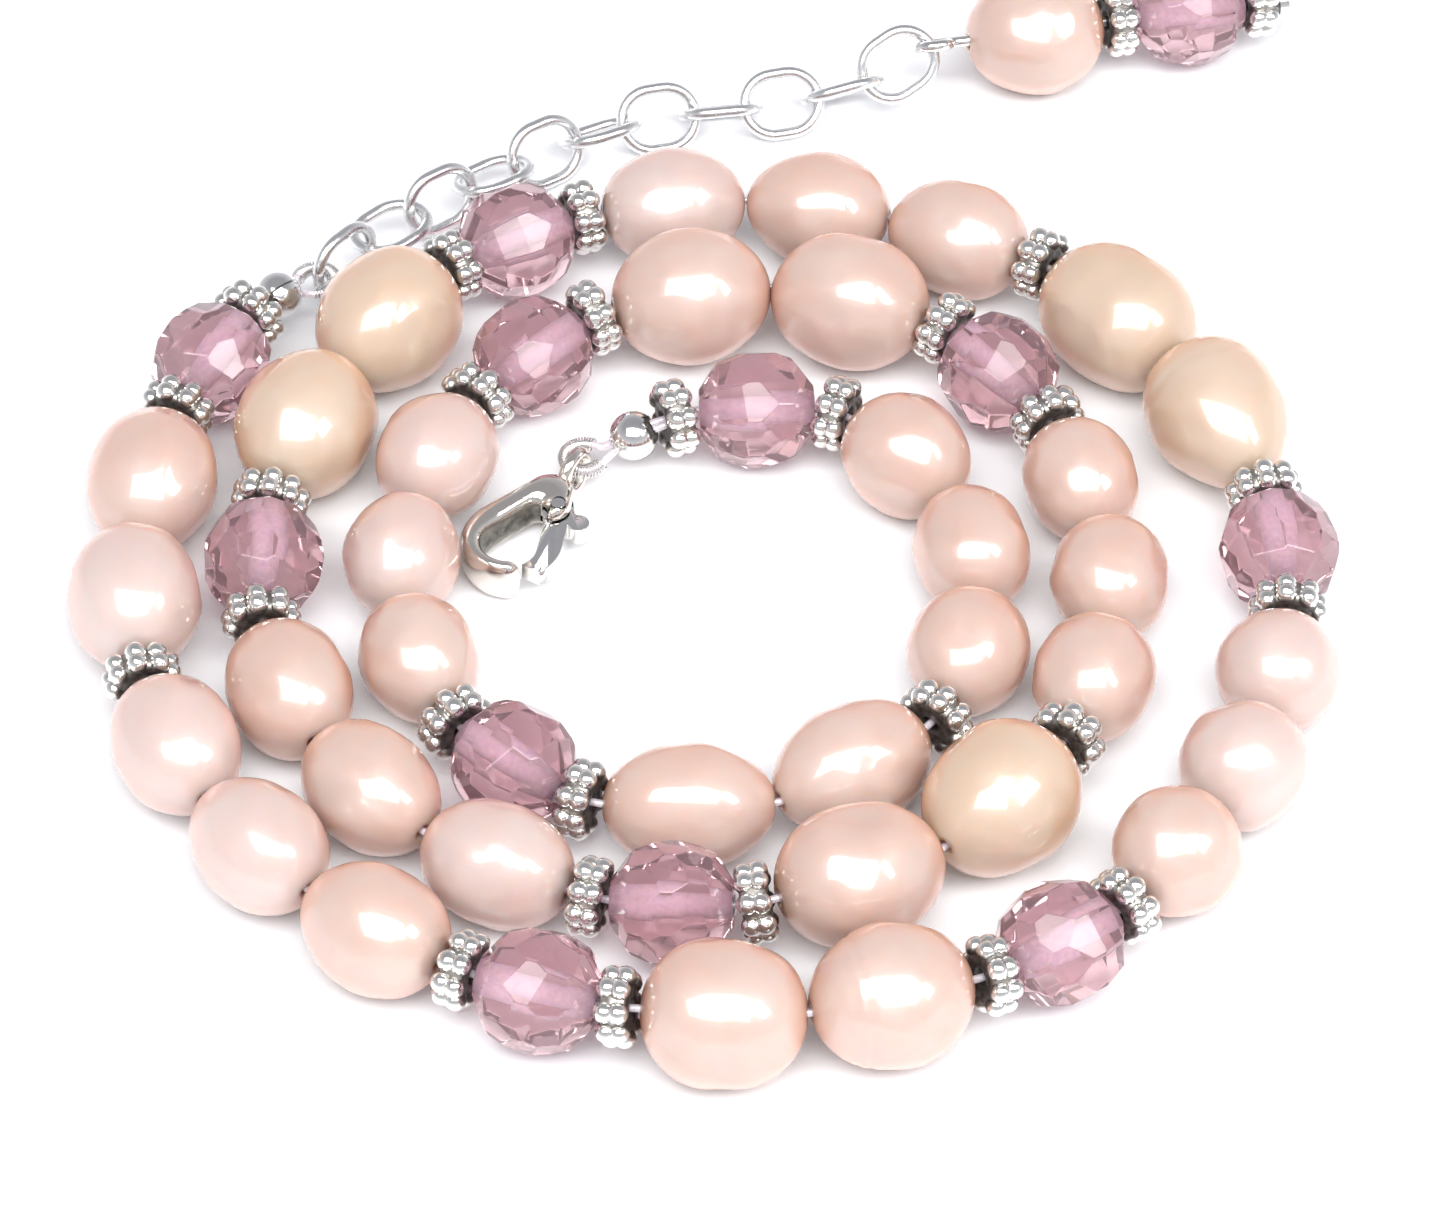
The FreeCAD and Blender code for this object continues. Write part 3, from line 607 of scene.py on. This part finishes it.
def crystal_mesh(name, bead):
    """The CAD's facets, with two more rows cut at its middle, and worn edges. The hole's wall is apart."""
    mesh = bead.mesh
    turn = bead.turn()
    for row in (-1, 1):
        for number in range(CRYSTAL_SIDES):
            around = 2 * math.pi * (number + CUT_STAGGER + CUT_STAGGER * row) / CRYSTAL_SIDES
            outward = turn @ Vector((math.cos(around), math.sin(around), row * CUT_LEAN)).normalized()
            cut = bmesh.ops.bisect_plane(
                mesh,
                geom=mesh.verts[:] + mesh.edges[:] + mesh.faces[:],
                plane_co=bead.centre + outward * (bead.width / 2 * CUT_DEPTH),
                plane_no=outward,
                clear_outer=True,
            )
            rim = [item for item in cut["geom_cut"] if isinstance(item, bmesh.types.BMEdge)]
            bmesh.ops.holes_fill(mesh, edges=rim)
    bmesh.ops.dissolve_limit(mesh, angle_limit=FLAT, verts=mesh.verts, edges=mesh.edges)

    def distance(point):
        return ((point - bead.centre) - bead.axis * (point - bead.centre).dot(bead.axis)).length

    nearest = min(distance(vert.co) for vert in mesh.verts)
    bore = {face for face in mesh.faces if all(distance(v.co) < nearest * BORE_REACH for v in face.verts)}
    for face in bore:
        face.material_index = 1
        face.smooth = True
    edges = [
        edge
        for edge in mesh.edges
        if not any(face in bore for face in edge.link_faces) and edge.calc_face_angle(0) > FACET_EDGE
    ]
    bmesh.ops.bevel(mesh, geom=edges, offset=WEAR, segments=1, affect="EDGES")
    result = bpy.data.meshes.new(name)
    mesh.to_mesh(result)
    return result


def make_crystals(beads, dangle):
    """The glass beads, with the ground walls of their holes."""
    materials = [amethyst_glass(), drilled_glass()]
    for bead in beads + dangle:
        if bead.kind != "crystal":
            continue
        name = bead.node.replace("crystal_", "glass_bead_").replace("dangle_crystal", "glass_bead_dangle")
        add_piece(name, crystal_mesh(name, bead), bead.body, materials, bead.node)


GRAINS = 8
GRAIN_WIDTH = 1.08
DAISY_WIDTH = 4.0
DAISY_LENGTH = 1.75
CORE_INSET = 0.02  # how far the core ring stays inside the middle of the grains
CORE_SIDES = 40
GRAIN_LUMPS = 2.2  # how fine a grain's unevenness is, and how deep
GRAIN_LUMP_DEPTH = 0.05
PATINA_START = 1.6  # inside this radius the patina deepens, over this width, to this much
PATINA_WIDTH = 0.3
PATINA_MOST = 0.72
DAISY_CASTS = 3
CAST_SEED = 40
ROLL_SEED = 7


def daisy_mesh(name, seed):
    """A cast spacer about Z: a core ring, and pairs of uneven grains round it. Marks where patina stays."""
    rng = random.Random(seed)
    mesh = bmesh.new()
    core = DAISY_WIDTH / 2 - GRAIN_WIDTH / 2 - CORE_INSET
    upper = [(0.5, 0.62), (0.62, 0.68), (1.2, 0.66), (core, 0.5)]
    profile = upper + [(r, -z) for r, z in reversed(upper)]
    rings = []
    for side in range(CORE_SIDES):
        angle = 2 * math.pi * side / CORE_SIDES
        rings.append([mesh.verts.new((r * math.cos(angle), r * math.sin(angle), z)) for r, z in profile])
    for ring, following in zip(rings, rings[1:] + rings[:1]):
        for k in range(len(profile)):
            after = (k + 1) % len(profile)
            mesh.faces.new((ring[k], following[k], following[after], ring[after]))
    for row in (-1, 1):
        for number in range(GRAINS):
            angle = 2 * math.pi * (number + 0.5 + rng.uniform(-0.04, 0.04)) / GRAINS
            reach = DAISY_WIDTH / 2 - GRAIN_WIDTH / 2 - rng.uniform(0.0, 0.05)
            height = row * ((DAISY_LENGTH - GRAIN_WIDTH) / 2 - rng.uniform(0.0, 0.03))
            place = Matrix.Translation((reach * math.cos(angle), reach * math.sin(angle), height))
            radius = GRAIN_WIDTH / 2 * rng.uniform(0.94, 1.0)
            made = bmesh.ops.create_uvsphere(mesh, u_segments=18, v_segments=12, radius=radius, matrix=place)
            offset = Vector([rng.uniform(-9, 9) for _ in range(3)])
            middle = place.translation
            for vert in made["verts"]:
                away = vert.co - middle
                lump = GRAIN_LUMP_DEPTH * noise.noise(away * GRAIN_LUMPS + offset)
                vert.co = middle + away * (1 + lump)
    layer = mesh.verts.layers.float.new("patina_and_shade")
    for vert in mesh.verts:
        outward = math.hypot(vert.co.x, vert.co.y)
        shade = (PATINA_START - outward) / PATINA_WIDTH
        vert[layer] = min(PATINA_MOST, max(0.0, shade))
        vert.co *= MM
    result = bpy.data.meshes.new(name)
    mesh.to_mesh(result)
    mesh.free()
    result.shade_smooth()
    return result


def make_daisies(beads, dangle):
    """The spacers, which share a few castings and are each rolled about the wire by chance."""
    material = antiqued_silver()
    masters = [daisy_mesh(f"daisy_cast_{k}", CAST_SEED + k) for k in range(DAISY_CASTS)]
    rng = random.Random(ROLL_SEED)
    daisies = [bead for bead in beads + dangle if bead.kind == "daisy"]
    for number, bead in enumerate(daisies, 1):
        master = masters[number % DAISY_CASTS]
        roll = Matrix.Rotation(rng.uniform(0, 2 * math.pi), 4, "Z")
        place = Matrix.Translation(bead.centre) @ bead.turn().to_4x4() @ roll
        add_piece(f"daisy_{number:02d}", master, bead.body, [material], bead.node, place)


WIRE_STATIONS = (-0.9, 0, 0.9)  # places along each bead that claim the wire near them
WIRE_ENDS = ("crimp_cover_inner", "loop_sleeve_inner", "crimp_cover_outer", "loop_sleeve_outer")


def make_wires(beads):
    """The beading wire, split where the strand's bodies meet, so that each length moves with its beads."""
    source = bmesh.new()
    source.from_mesh(nodes["beading_wire"].data)
    bmesh.ops.remove_doubles(source, verts=source.verts, dist=WELD)
    spots = []
    for bead in beads:
        for place in WIRE_STATIONS:
            spots.append((bead.centre + bead.axis * (bead.length * place / 2), bead.body))
    for node in WIRE_ENDS:
        low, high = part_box(node)
        spots.append(((low + high) / 2, nodes[node]["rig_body"]))
    material = stranded_wire()
    owner = {}
    for face in source.faces:
        middle = face.calc_center_median()
        owner[face.index] = min(spots, key=lambda spot: (spot[0] - middle).length)[1]
    for body in sorted(set(owner.values())):
        copy = source.copy()
        copy.faces.ensure_lookup_table()
        bmesh.ops.delete(copy, geom=[f for f in copy.faces if owner[f.index] != body], context="FACES")
        mesh = bpy.data.meshes.new(f"wire_{body}")
        copy.to_mesh(mesh)
        copy.free()
        mesh.shade_smooth()
        add_piece(f"wire_{body}", mesh, body, [material], "beading_wire")
    source.free()


GIMP_TURNS = 34
GIMP_WIRE = 0.085
GIMP_STEPS = 10  # in each turn


def make_gimp(node, material):
    """The wire guard round a loop, as the fine coil of wire it is."""
    points = [v.co.copy() for v in nodes[node].data.vertices]
    low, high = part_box(node)
    height = (low.z + high.z) / 2
    centre = circle_centre(points)
    angles = sorted(math.atan2(p.y - centre.y, p.x - centre.x) for p in points)
    gaps = [(b - a, b) for a, b in zip(angles, angles[1:] + [angles[0] + 2 * math.pi])]
    gap, first = max(gaps)
    span = 2 * math.pi - gap
    reach = [math.hypot(p.x - centre.x, p.y - centre.y) for p in points]
    radius = (max(reach) + min(reach)) / 2
    thick = (high.z - low.z) / 2 - GIMP_WIRE / 2 * MM
    curve = bpy.data.curves.new(f"{node}_coil", "CURVE")
    curve.dimensions = "3D"
    steps = GIMP_TURNS * GIMP_STEPS
    spline = curve.splines.new("POLY")
    spline.points.add(steps)
    for step, point in enumerate(spline.points):
        share = step / steps
        around = first + span * share
        wind = 2 * math.pi * GIMP_TURNS * share
        out = radius + thick * math.cos(wind)
        x = centre.x + out * math.cos(around)
        y = centre.y + out * math.sin(around)
        point.co = (x, y, height + thick * math.sin(wind), 1)
    curve.bevel_depth = GIMP_WIRE / 2 * MM
    curve.bevel_resolution = 2
    add_piece(f"{node}_coil", curve, nodes[node]["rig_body"], [material], node)


CIRCLE_ROUNDS = 60


def circle_centre(points):
    """The centre of the ring that these points lie on, seen from above."""
    centre = sum((Vector((p.x, p.y)) for p in points), Vector((0, 0))) / len(points)
    for _ in range(CIRCLE_ROUNDS):
        spokes = [Vector((p.x, p.y)) - centre for p in points]
        mean = sum(spoke.length for spoke in spokes) / len(spokes)
        misses = (spoke - spoke.normalized() * mean for spoke in spokes)
        centre += 2 * sum(misses, Vector((0, 0))) / len(spokes)
    return centre


# The clasp's own frame, in millimetres: X runs from the middle of the tail ring to the nose, and a
# round end is (x, y, radius).
CLASP_HEADING = math.radians(240)
CLASP_TAIL = (2.05, 0.0, 1.15)
CLASP_NOSE = (6.0, 0.0, 2.62)
OPENING_TAIL = (3.9, 0.1, 0.55)
OPENING_NOSE = (6.35, 0.1, 1.35)
CLASP_MIDDLE = (5.2, 0.05)
CLASP_HALF = 1.2
HOOK_END = math.radians(31)
HINGE_END = math.radians(-222)
ROUND_END = math.radians(14)
LEVER_PIVOT = Vector((3.1, 0.95, 0))
HINGE_RADIUS = 0.95
RIVET_HOLE_RADIUS = 0.41
SLOT_HALF = 0.62
RING_RADIUS = 1.05
RING_WIRE_RADIUS = 0.35
LEVER_BAY = (0.6, 1.4, 4.0)  # the lever's slot: its low side, its reach past the pivot and its open side
SPRING_BAY = ((2.1, -0.02), (3.1, 0.65))
OUTLINE_STEPS = 60
REACH_MOST = 8.0
REACH_HALVINGS = 24
CAST_FULLNESS = 0.82  # below 1, the section is squarer than an oval
CAST_TIP = 0.12  # how thick the body's ends stay, over its full thickness
OPENING_SHADE_DEPTH = 0.75  # how dark the painted shade on the opening's wall is, and how far out it fades
OPENING_SHADE_REACH = 0.45


def teardrop_distance(x, y, tail, nose):
    """How far a point lies outside the teardrop about two round ends. Negative inside."""
    shares = (step / OUTLINE_STEPS for step in range(OUTLINE_STEPS + 1))
    return min(
        math.hypot(x - tail[0] - (nose[0] - tail[0]) * share, y - tail[1] - (nose[1] - tail[1]) * share)
        - tail[2]
        - (nose[2] - tail[2]) * share
        for share in shares
    )


def teardrop_reach(angle, tail, nose):
    """How far a teardrop's outline is from the clasp's middle, in one direction."""
    low, high = 0.0, REACH_MOST
    for _ in range(REACH_HALVINGS):
        reach = (low + high) / 2
        x = CLASP_MIDDLE[0] + reach * math.cos(angle)
        y = CLASP_MIDDLE[1] + reach * math.sin(angle)
        if teardrop_distance(x, y, tail, nose) < 0:
            low = reach
        else:
            high = reach
    return low


def skin(mesh, pairs):
    """Faces between each pair of rings of vertices."""
    for ring, following in pairs:
        for side in range(len(ring)):
            beside = (side + 1) % len(ring)
            mesh.faces.new((ring[side], ring[beside], following[beside], following[side]))


def cast_ring():
    """The clasp's body, domed as it was cast, from the hook's end round the nose and tail to the hinge."""
    mesh = bmesh.new()
    steps, sides = 110, 28
    rings = []
    for step in range(steps + 1):
        angle = HOOK_END + (HINGE_END - HOOK_END) * step / steps
        inner = teardrop_reach(angle, OPENING_TAIL, OPENING_NOSE)
        outer = teardrop_reach(angle, CLASP_TAIL, CLASP_NOSE)
        from_end = min(HOOK_END - angle, angle - HINGE_END, ROUND_END) / ROUND_END
        share = max(CAST_TIP, math.sqrt(1 - (1 - from_end) ** 2))
        ring = []
        for side in range(sides):
            turn = 2 * math.pi * side / sides
            across = math.copysign(abs(math.cos(turn)) ** CAST_FULLNESS, math.cos(turn))
            height = math.copysign(abs(math.sin(turn)) ** CAST_FULLNESS, math.sin(turn))
            reach = (inner + outer) / 2 + (outer - inner) / 2 * across * share
            x = CLASP_MIDDLE[0] + reach * math.cos(angle)
            y = CLASP_MIDDLE[1] + reach * math.sin(angle)
            ring.append(mesh.verts.new((x, y, CLASP_HALF * height * share)))
        rings.append(ring)
    skin(mesh, zip(rings, rings[1:]))
    mesh.faces.new(reversed(rings[0]))
    mesh.faces.new(rings[-1])
    bmesh.ops.recalc_face_normals(mesh, faces=mesh.faces)
    return mesh


def tail_ring():
    """The ring at the clasp's tail, upright when the clasp lies flat."""
    mesh = bmesh.new()
    steps, sides = 56, 20
    rings = []
    for step in range(steps):
        angle = 2 * math.pi * step / steps
        ring = []
        for side in range(sides):
            turn = 2 * math.pi * side / sides
            reach = RING_RADIUS + RING_WIRE_RADIUS * math.cos(turn)
            point = (reach * math.cos(angle), RING_WIRE_RADIUS * math.sin(turn), reach * math.sin(angle))
            ring.append(mesh.verts.new(point))
        rings.append(ring)
    skin(mesh, zip(rings, rings[1:] + rings[:1]))
    bmesh.ops.recalc_face_normals(mesh, faces=mesh.faces)
    return mesh


def post_mesh(radius, half):
    """A round post through the clasp at the lever's pivot."""
    mesh = bmesh.new()
    place = Matrix.Translation(LEVER_PIVOT)
    bmesh.ops.create_cone(
        mesh, cap_ends=True, segments=40, radius1=radius, radius2=radius, depth=2 * half, matrix=place
    )
    return mesh


def block_mesh(low, high):
    """A block between two corners."""
    mesh = bmesh.new()
    middle = (Vector(low) + Vector(high)) / 2
    size = Vector(high) - Vector(low)
    bmesh.ops.create_cube(mesh, size=1, matrix=Matrix.LocRotScale(middle, None, size))
    return mesh


def combined(name, base, changes):
    """The mesh of a base with other meshes joined to it or cut from it: changes are (operation, mesh)."""
    shapes = []
    for mesh in [base] + [change for _, change in changes]:
        data = bpy.data.meshes.new(name)
        mesh.to_mesh(data)
        mesh.free()
        shape = bpy.data.objects.new(name, data)
        scene.collection.objects.link(shape)
        shapes.append(shape)
    for (operation, _), other in zip(changes, shapes[1:]):
        modifier = shapes[0].modifiers.new("change", "BOOLEAN")
        modifier.operation = operation
        modifier.object = other
        modifier.solver = "EXACT"
    evaluated = shapes[0].evaluated_get(bpy.context.evaluated_depsgraph_get())
    result = bpy.data.meshes.new_from_object(evaluated)
    for shape in shapes:
        data = shape.data
        bpy.data.objects.remove(shape)
        bpy.data.meshes.remove(data)
    result.name = name
    return result


METAL_SHARPEST = 35  # the angles, in degrees, above which an edge looks sharp
CLASP_SHARPEST = 40
LEVER_SHARPEST = 50
LEVER_WEAR = 0.16 * MM


def smooth(mesh, sharpest):
    """Smooth shading, except along edges sharper than an angle in degrees."""
    mesh.shade_smooth()
    mesh.set_sharp_from_angle(angle=math.radians(sharpest))


def mark_painted_shade(mesh, shade):
    """Store how dark the painted shade is at each vertex, from shade(point), 0 bright to 1 black."""
    layer = mesh.attributes.new("patina_and_shade", "FLOAT", "POINT")
    for vert, mark in zip(mesh.vertices, layer.data):
        mark.value = min(1.0, max(0.0, shade(vert.co)))


def clasp_shade(point):
    """The clasp is bright outside, with painted shade darkening the walls of its opening."""
    outside = teardrop_distance(point.x, point.y, OPENING_TAIL, OPENING_NOSE)
    return OPENING_SHADE_DEPTH - outside / OPENING_SHADE_REACH


def make_clasp(material):
    """The clasp's body, with its lever's slot, its spring's bay and its rivet's hole cut out."""
    low_side, past_pivot, open_side = LEVER_BAY
    slot_low = (LEVER_PIVOT.x - HINGE_RADIUS, low_side, -SLOT_HALF)
    slot_high = (LEVER_PIVOT.x + past_pivot, open_side, SLOT_HALF)
    spring_low = (*SPRING_BAY[0], -SLOT_HALF)
    spring_high = (*SPRING_BAY[1], SLOT_HALF)
    mesh = combined(
        "clasp_cast",
        cast_ring(),
        [
            ("UNION", tail_ring()),
            ("DIFFERENCE", post_mesh(HINGE_RADIUS, SLOT_HALF)),
            ("DIFFERENCE", block_mesh(slot_low, slot_high)),
            ("DIFFERENCE", block_mesh(spring_low, spring_high)),
            ("DIFFERENCE", post_mesh(RIVET_HOLE_RADIUS, 2 * CLASP_HALF)),
        ],
    )
    # Painted shade, marked on the walls of the opening.
    mark_painted_shade(mesh, clasp_shade)
    low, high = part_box("clasp_rivet")
    turn = Matrix.Rotation(CLASP_HEADING, 4, "Z")
    shift = (low + high) / 2 - (turn @ LEVER_PIVOT) * MM
    mesh.transform(Matrix.Translation(shift) @ turn @ Matrix.Scale(MM, 4))
    smooth(mesh, CLASP_SHARPEST)
    add_piece("clasp_cast", mesh, "clasp", [material], "clasp_body")


def softened(node, width, material, name):
    """A CAD piece with its sharp edges worn round."""
    mesh = bmesh.new()
    mesh.from_mesh(nodes[node].data)
    bmesh.ops.remove_doubles(mesh, verts=mesh.verts, dist=WELD)
    bmesh.ops.dissolve_limit(mesh, angle_limit=math.radians(1), verts=mesh.verts, edges=mesh.edges)
    edges = [edge for edge in mesh.edges if edge.calc_face_angle(0) > math.radians(METAL_SHARPEST)]
    bmesh.ops.bevel(mesh, geom=edges, offset=width, segments=3, affect="EDGES", clamp_overlap=True)
    result = bpy.data.meshes.new(name)
    mesh.to_mesh(result)
    mesh.free()
    smooth(result, LEVER_SHARPEST)
    add_piece(name, result, nodes[node]["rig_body"], [material], node)


def finish_metal():
    """The metal pieces, each with its finish. Those not replaced keep the CAD's own shape."""
    bright = silver("bright_silver", (0.86, 0.85, 0.84), 0.1, 900.0)
    chain = silver("chain_silver", (0.84, 0.84, 0.84), 0.2, 1500.0)
    for name, node in nodes.items():
        if name.startswith("chain_link"):
            material = chain
        elif name.startswith(("clasp_", "crimp_", "dangle_head")):
            material = bright
        else:
            continue
        node.data.materials.clear()
        node.data.materials.append(material)
        smooth(node.data, METAL_SHARPEST)
    for node in ("loop_sleeve_inner", "loop_sleeve_outer"):
        make_gimp(node, bright)
    make_clasp(cast_silver())
    softened("clasp_lever", LEVER_WEAR, bright, "lever_cast")


# ---------------------------------------------------------------- all of it

scene.view_settings.view_transform = "Standard"
add_camera()
add_world()
add_softbox("window", -4, 62, 0.66, 0.38, 5.2)
add_softbox("side_window", 62, 42, 0.17, 0.24, 1.3)
add_table()
strand, dangle = read_strand()
make_pearls(strand, dangle)
make_crystals(strand, dangle)
make_daisies(strand, dangle)
make_wires(strand)
finish_metal()
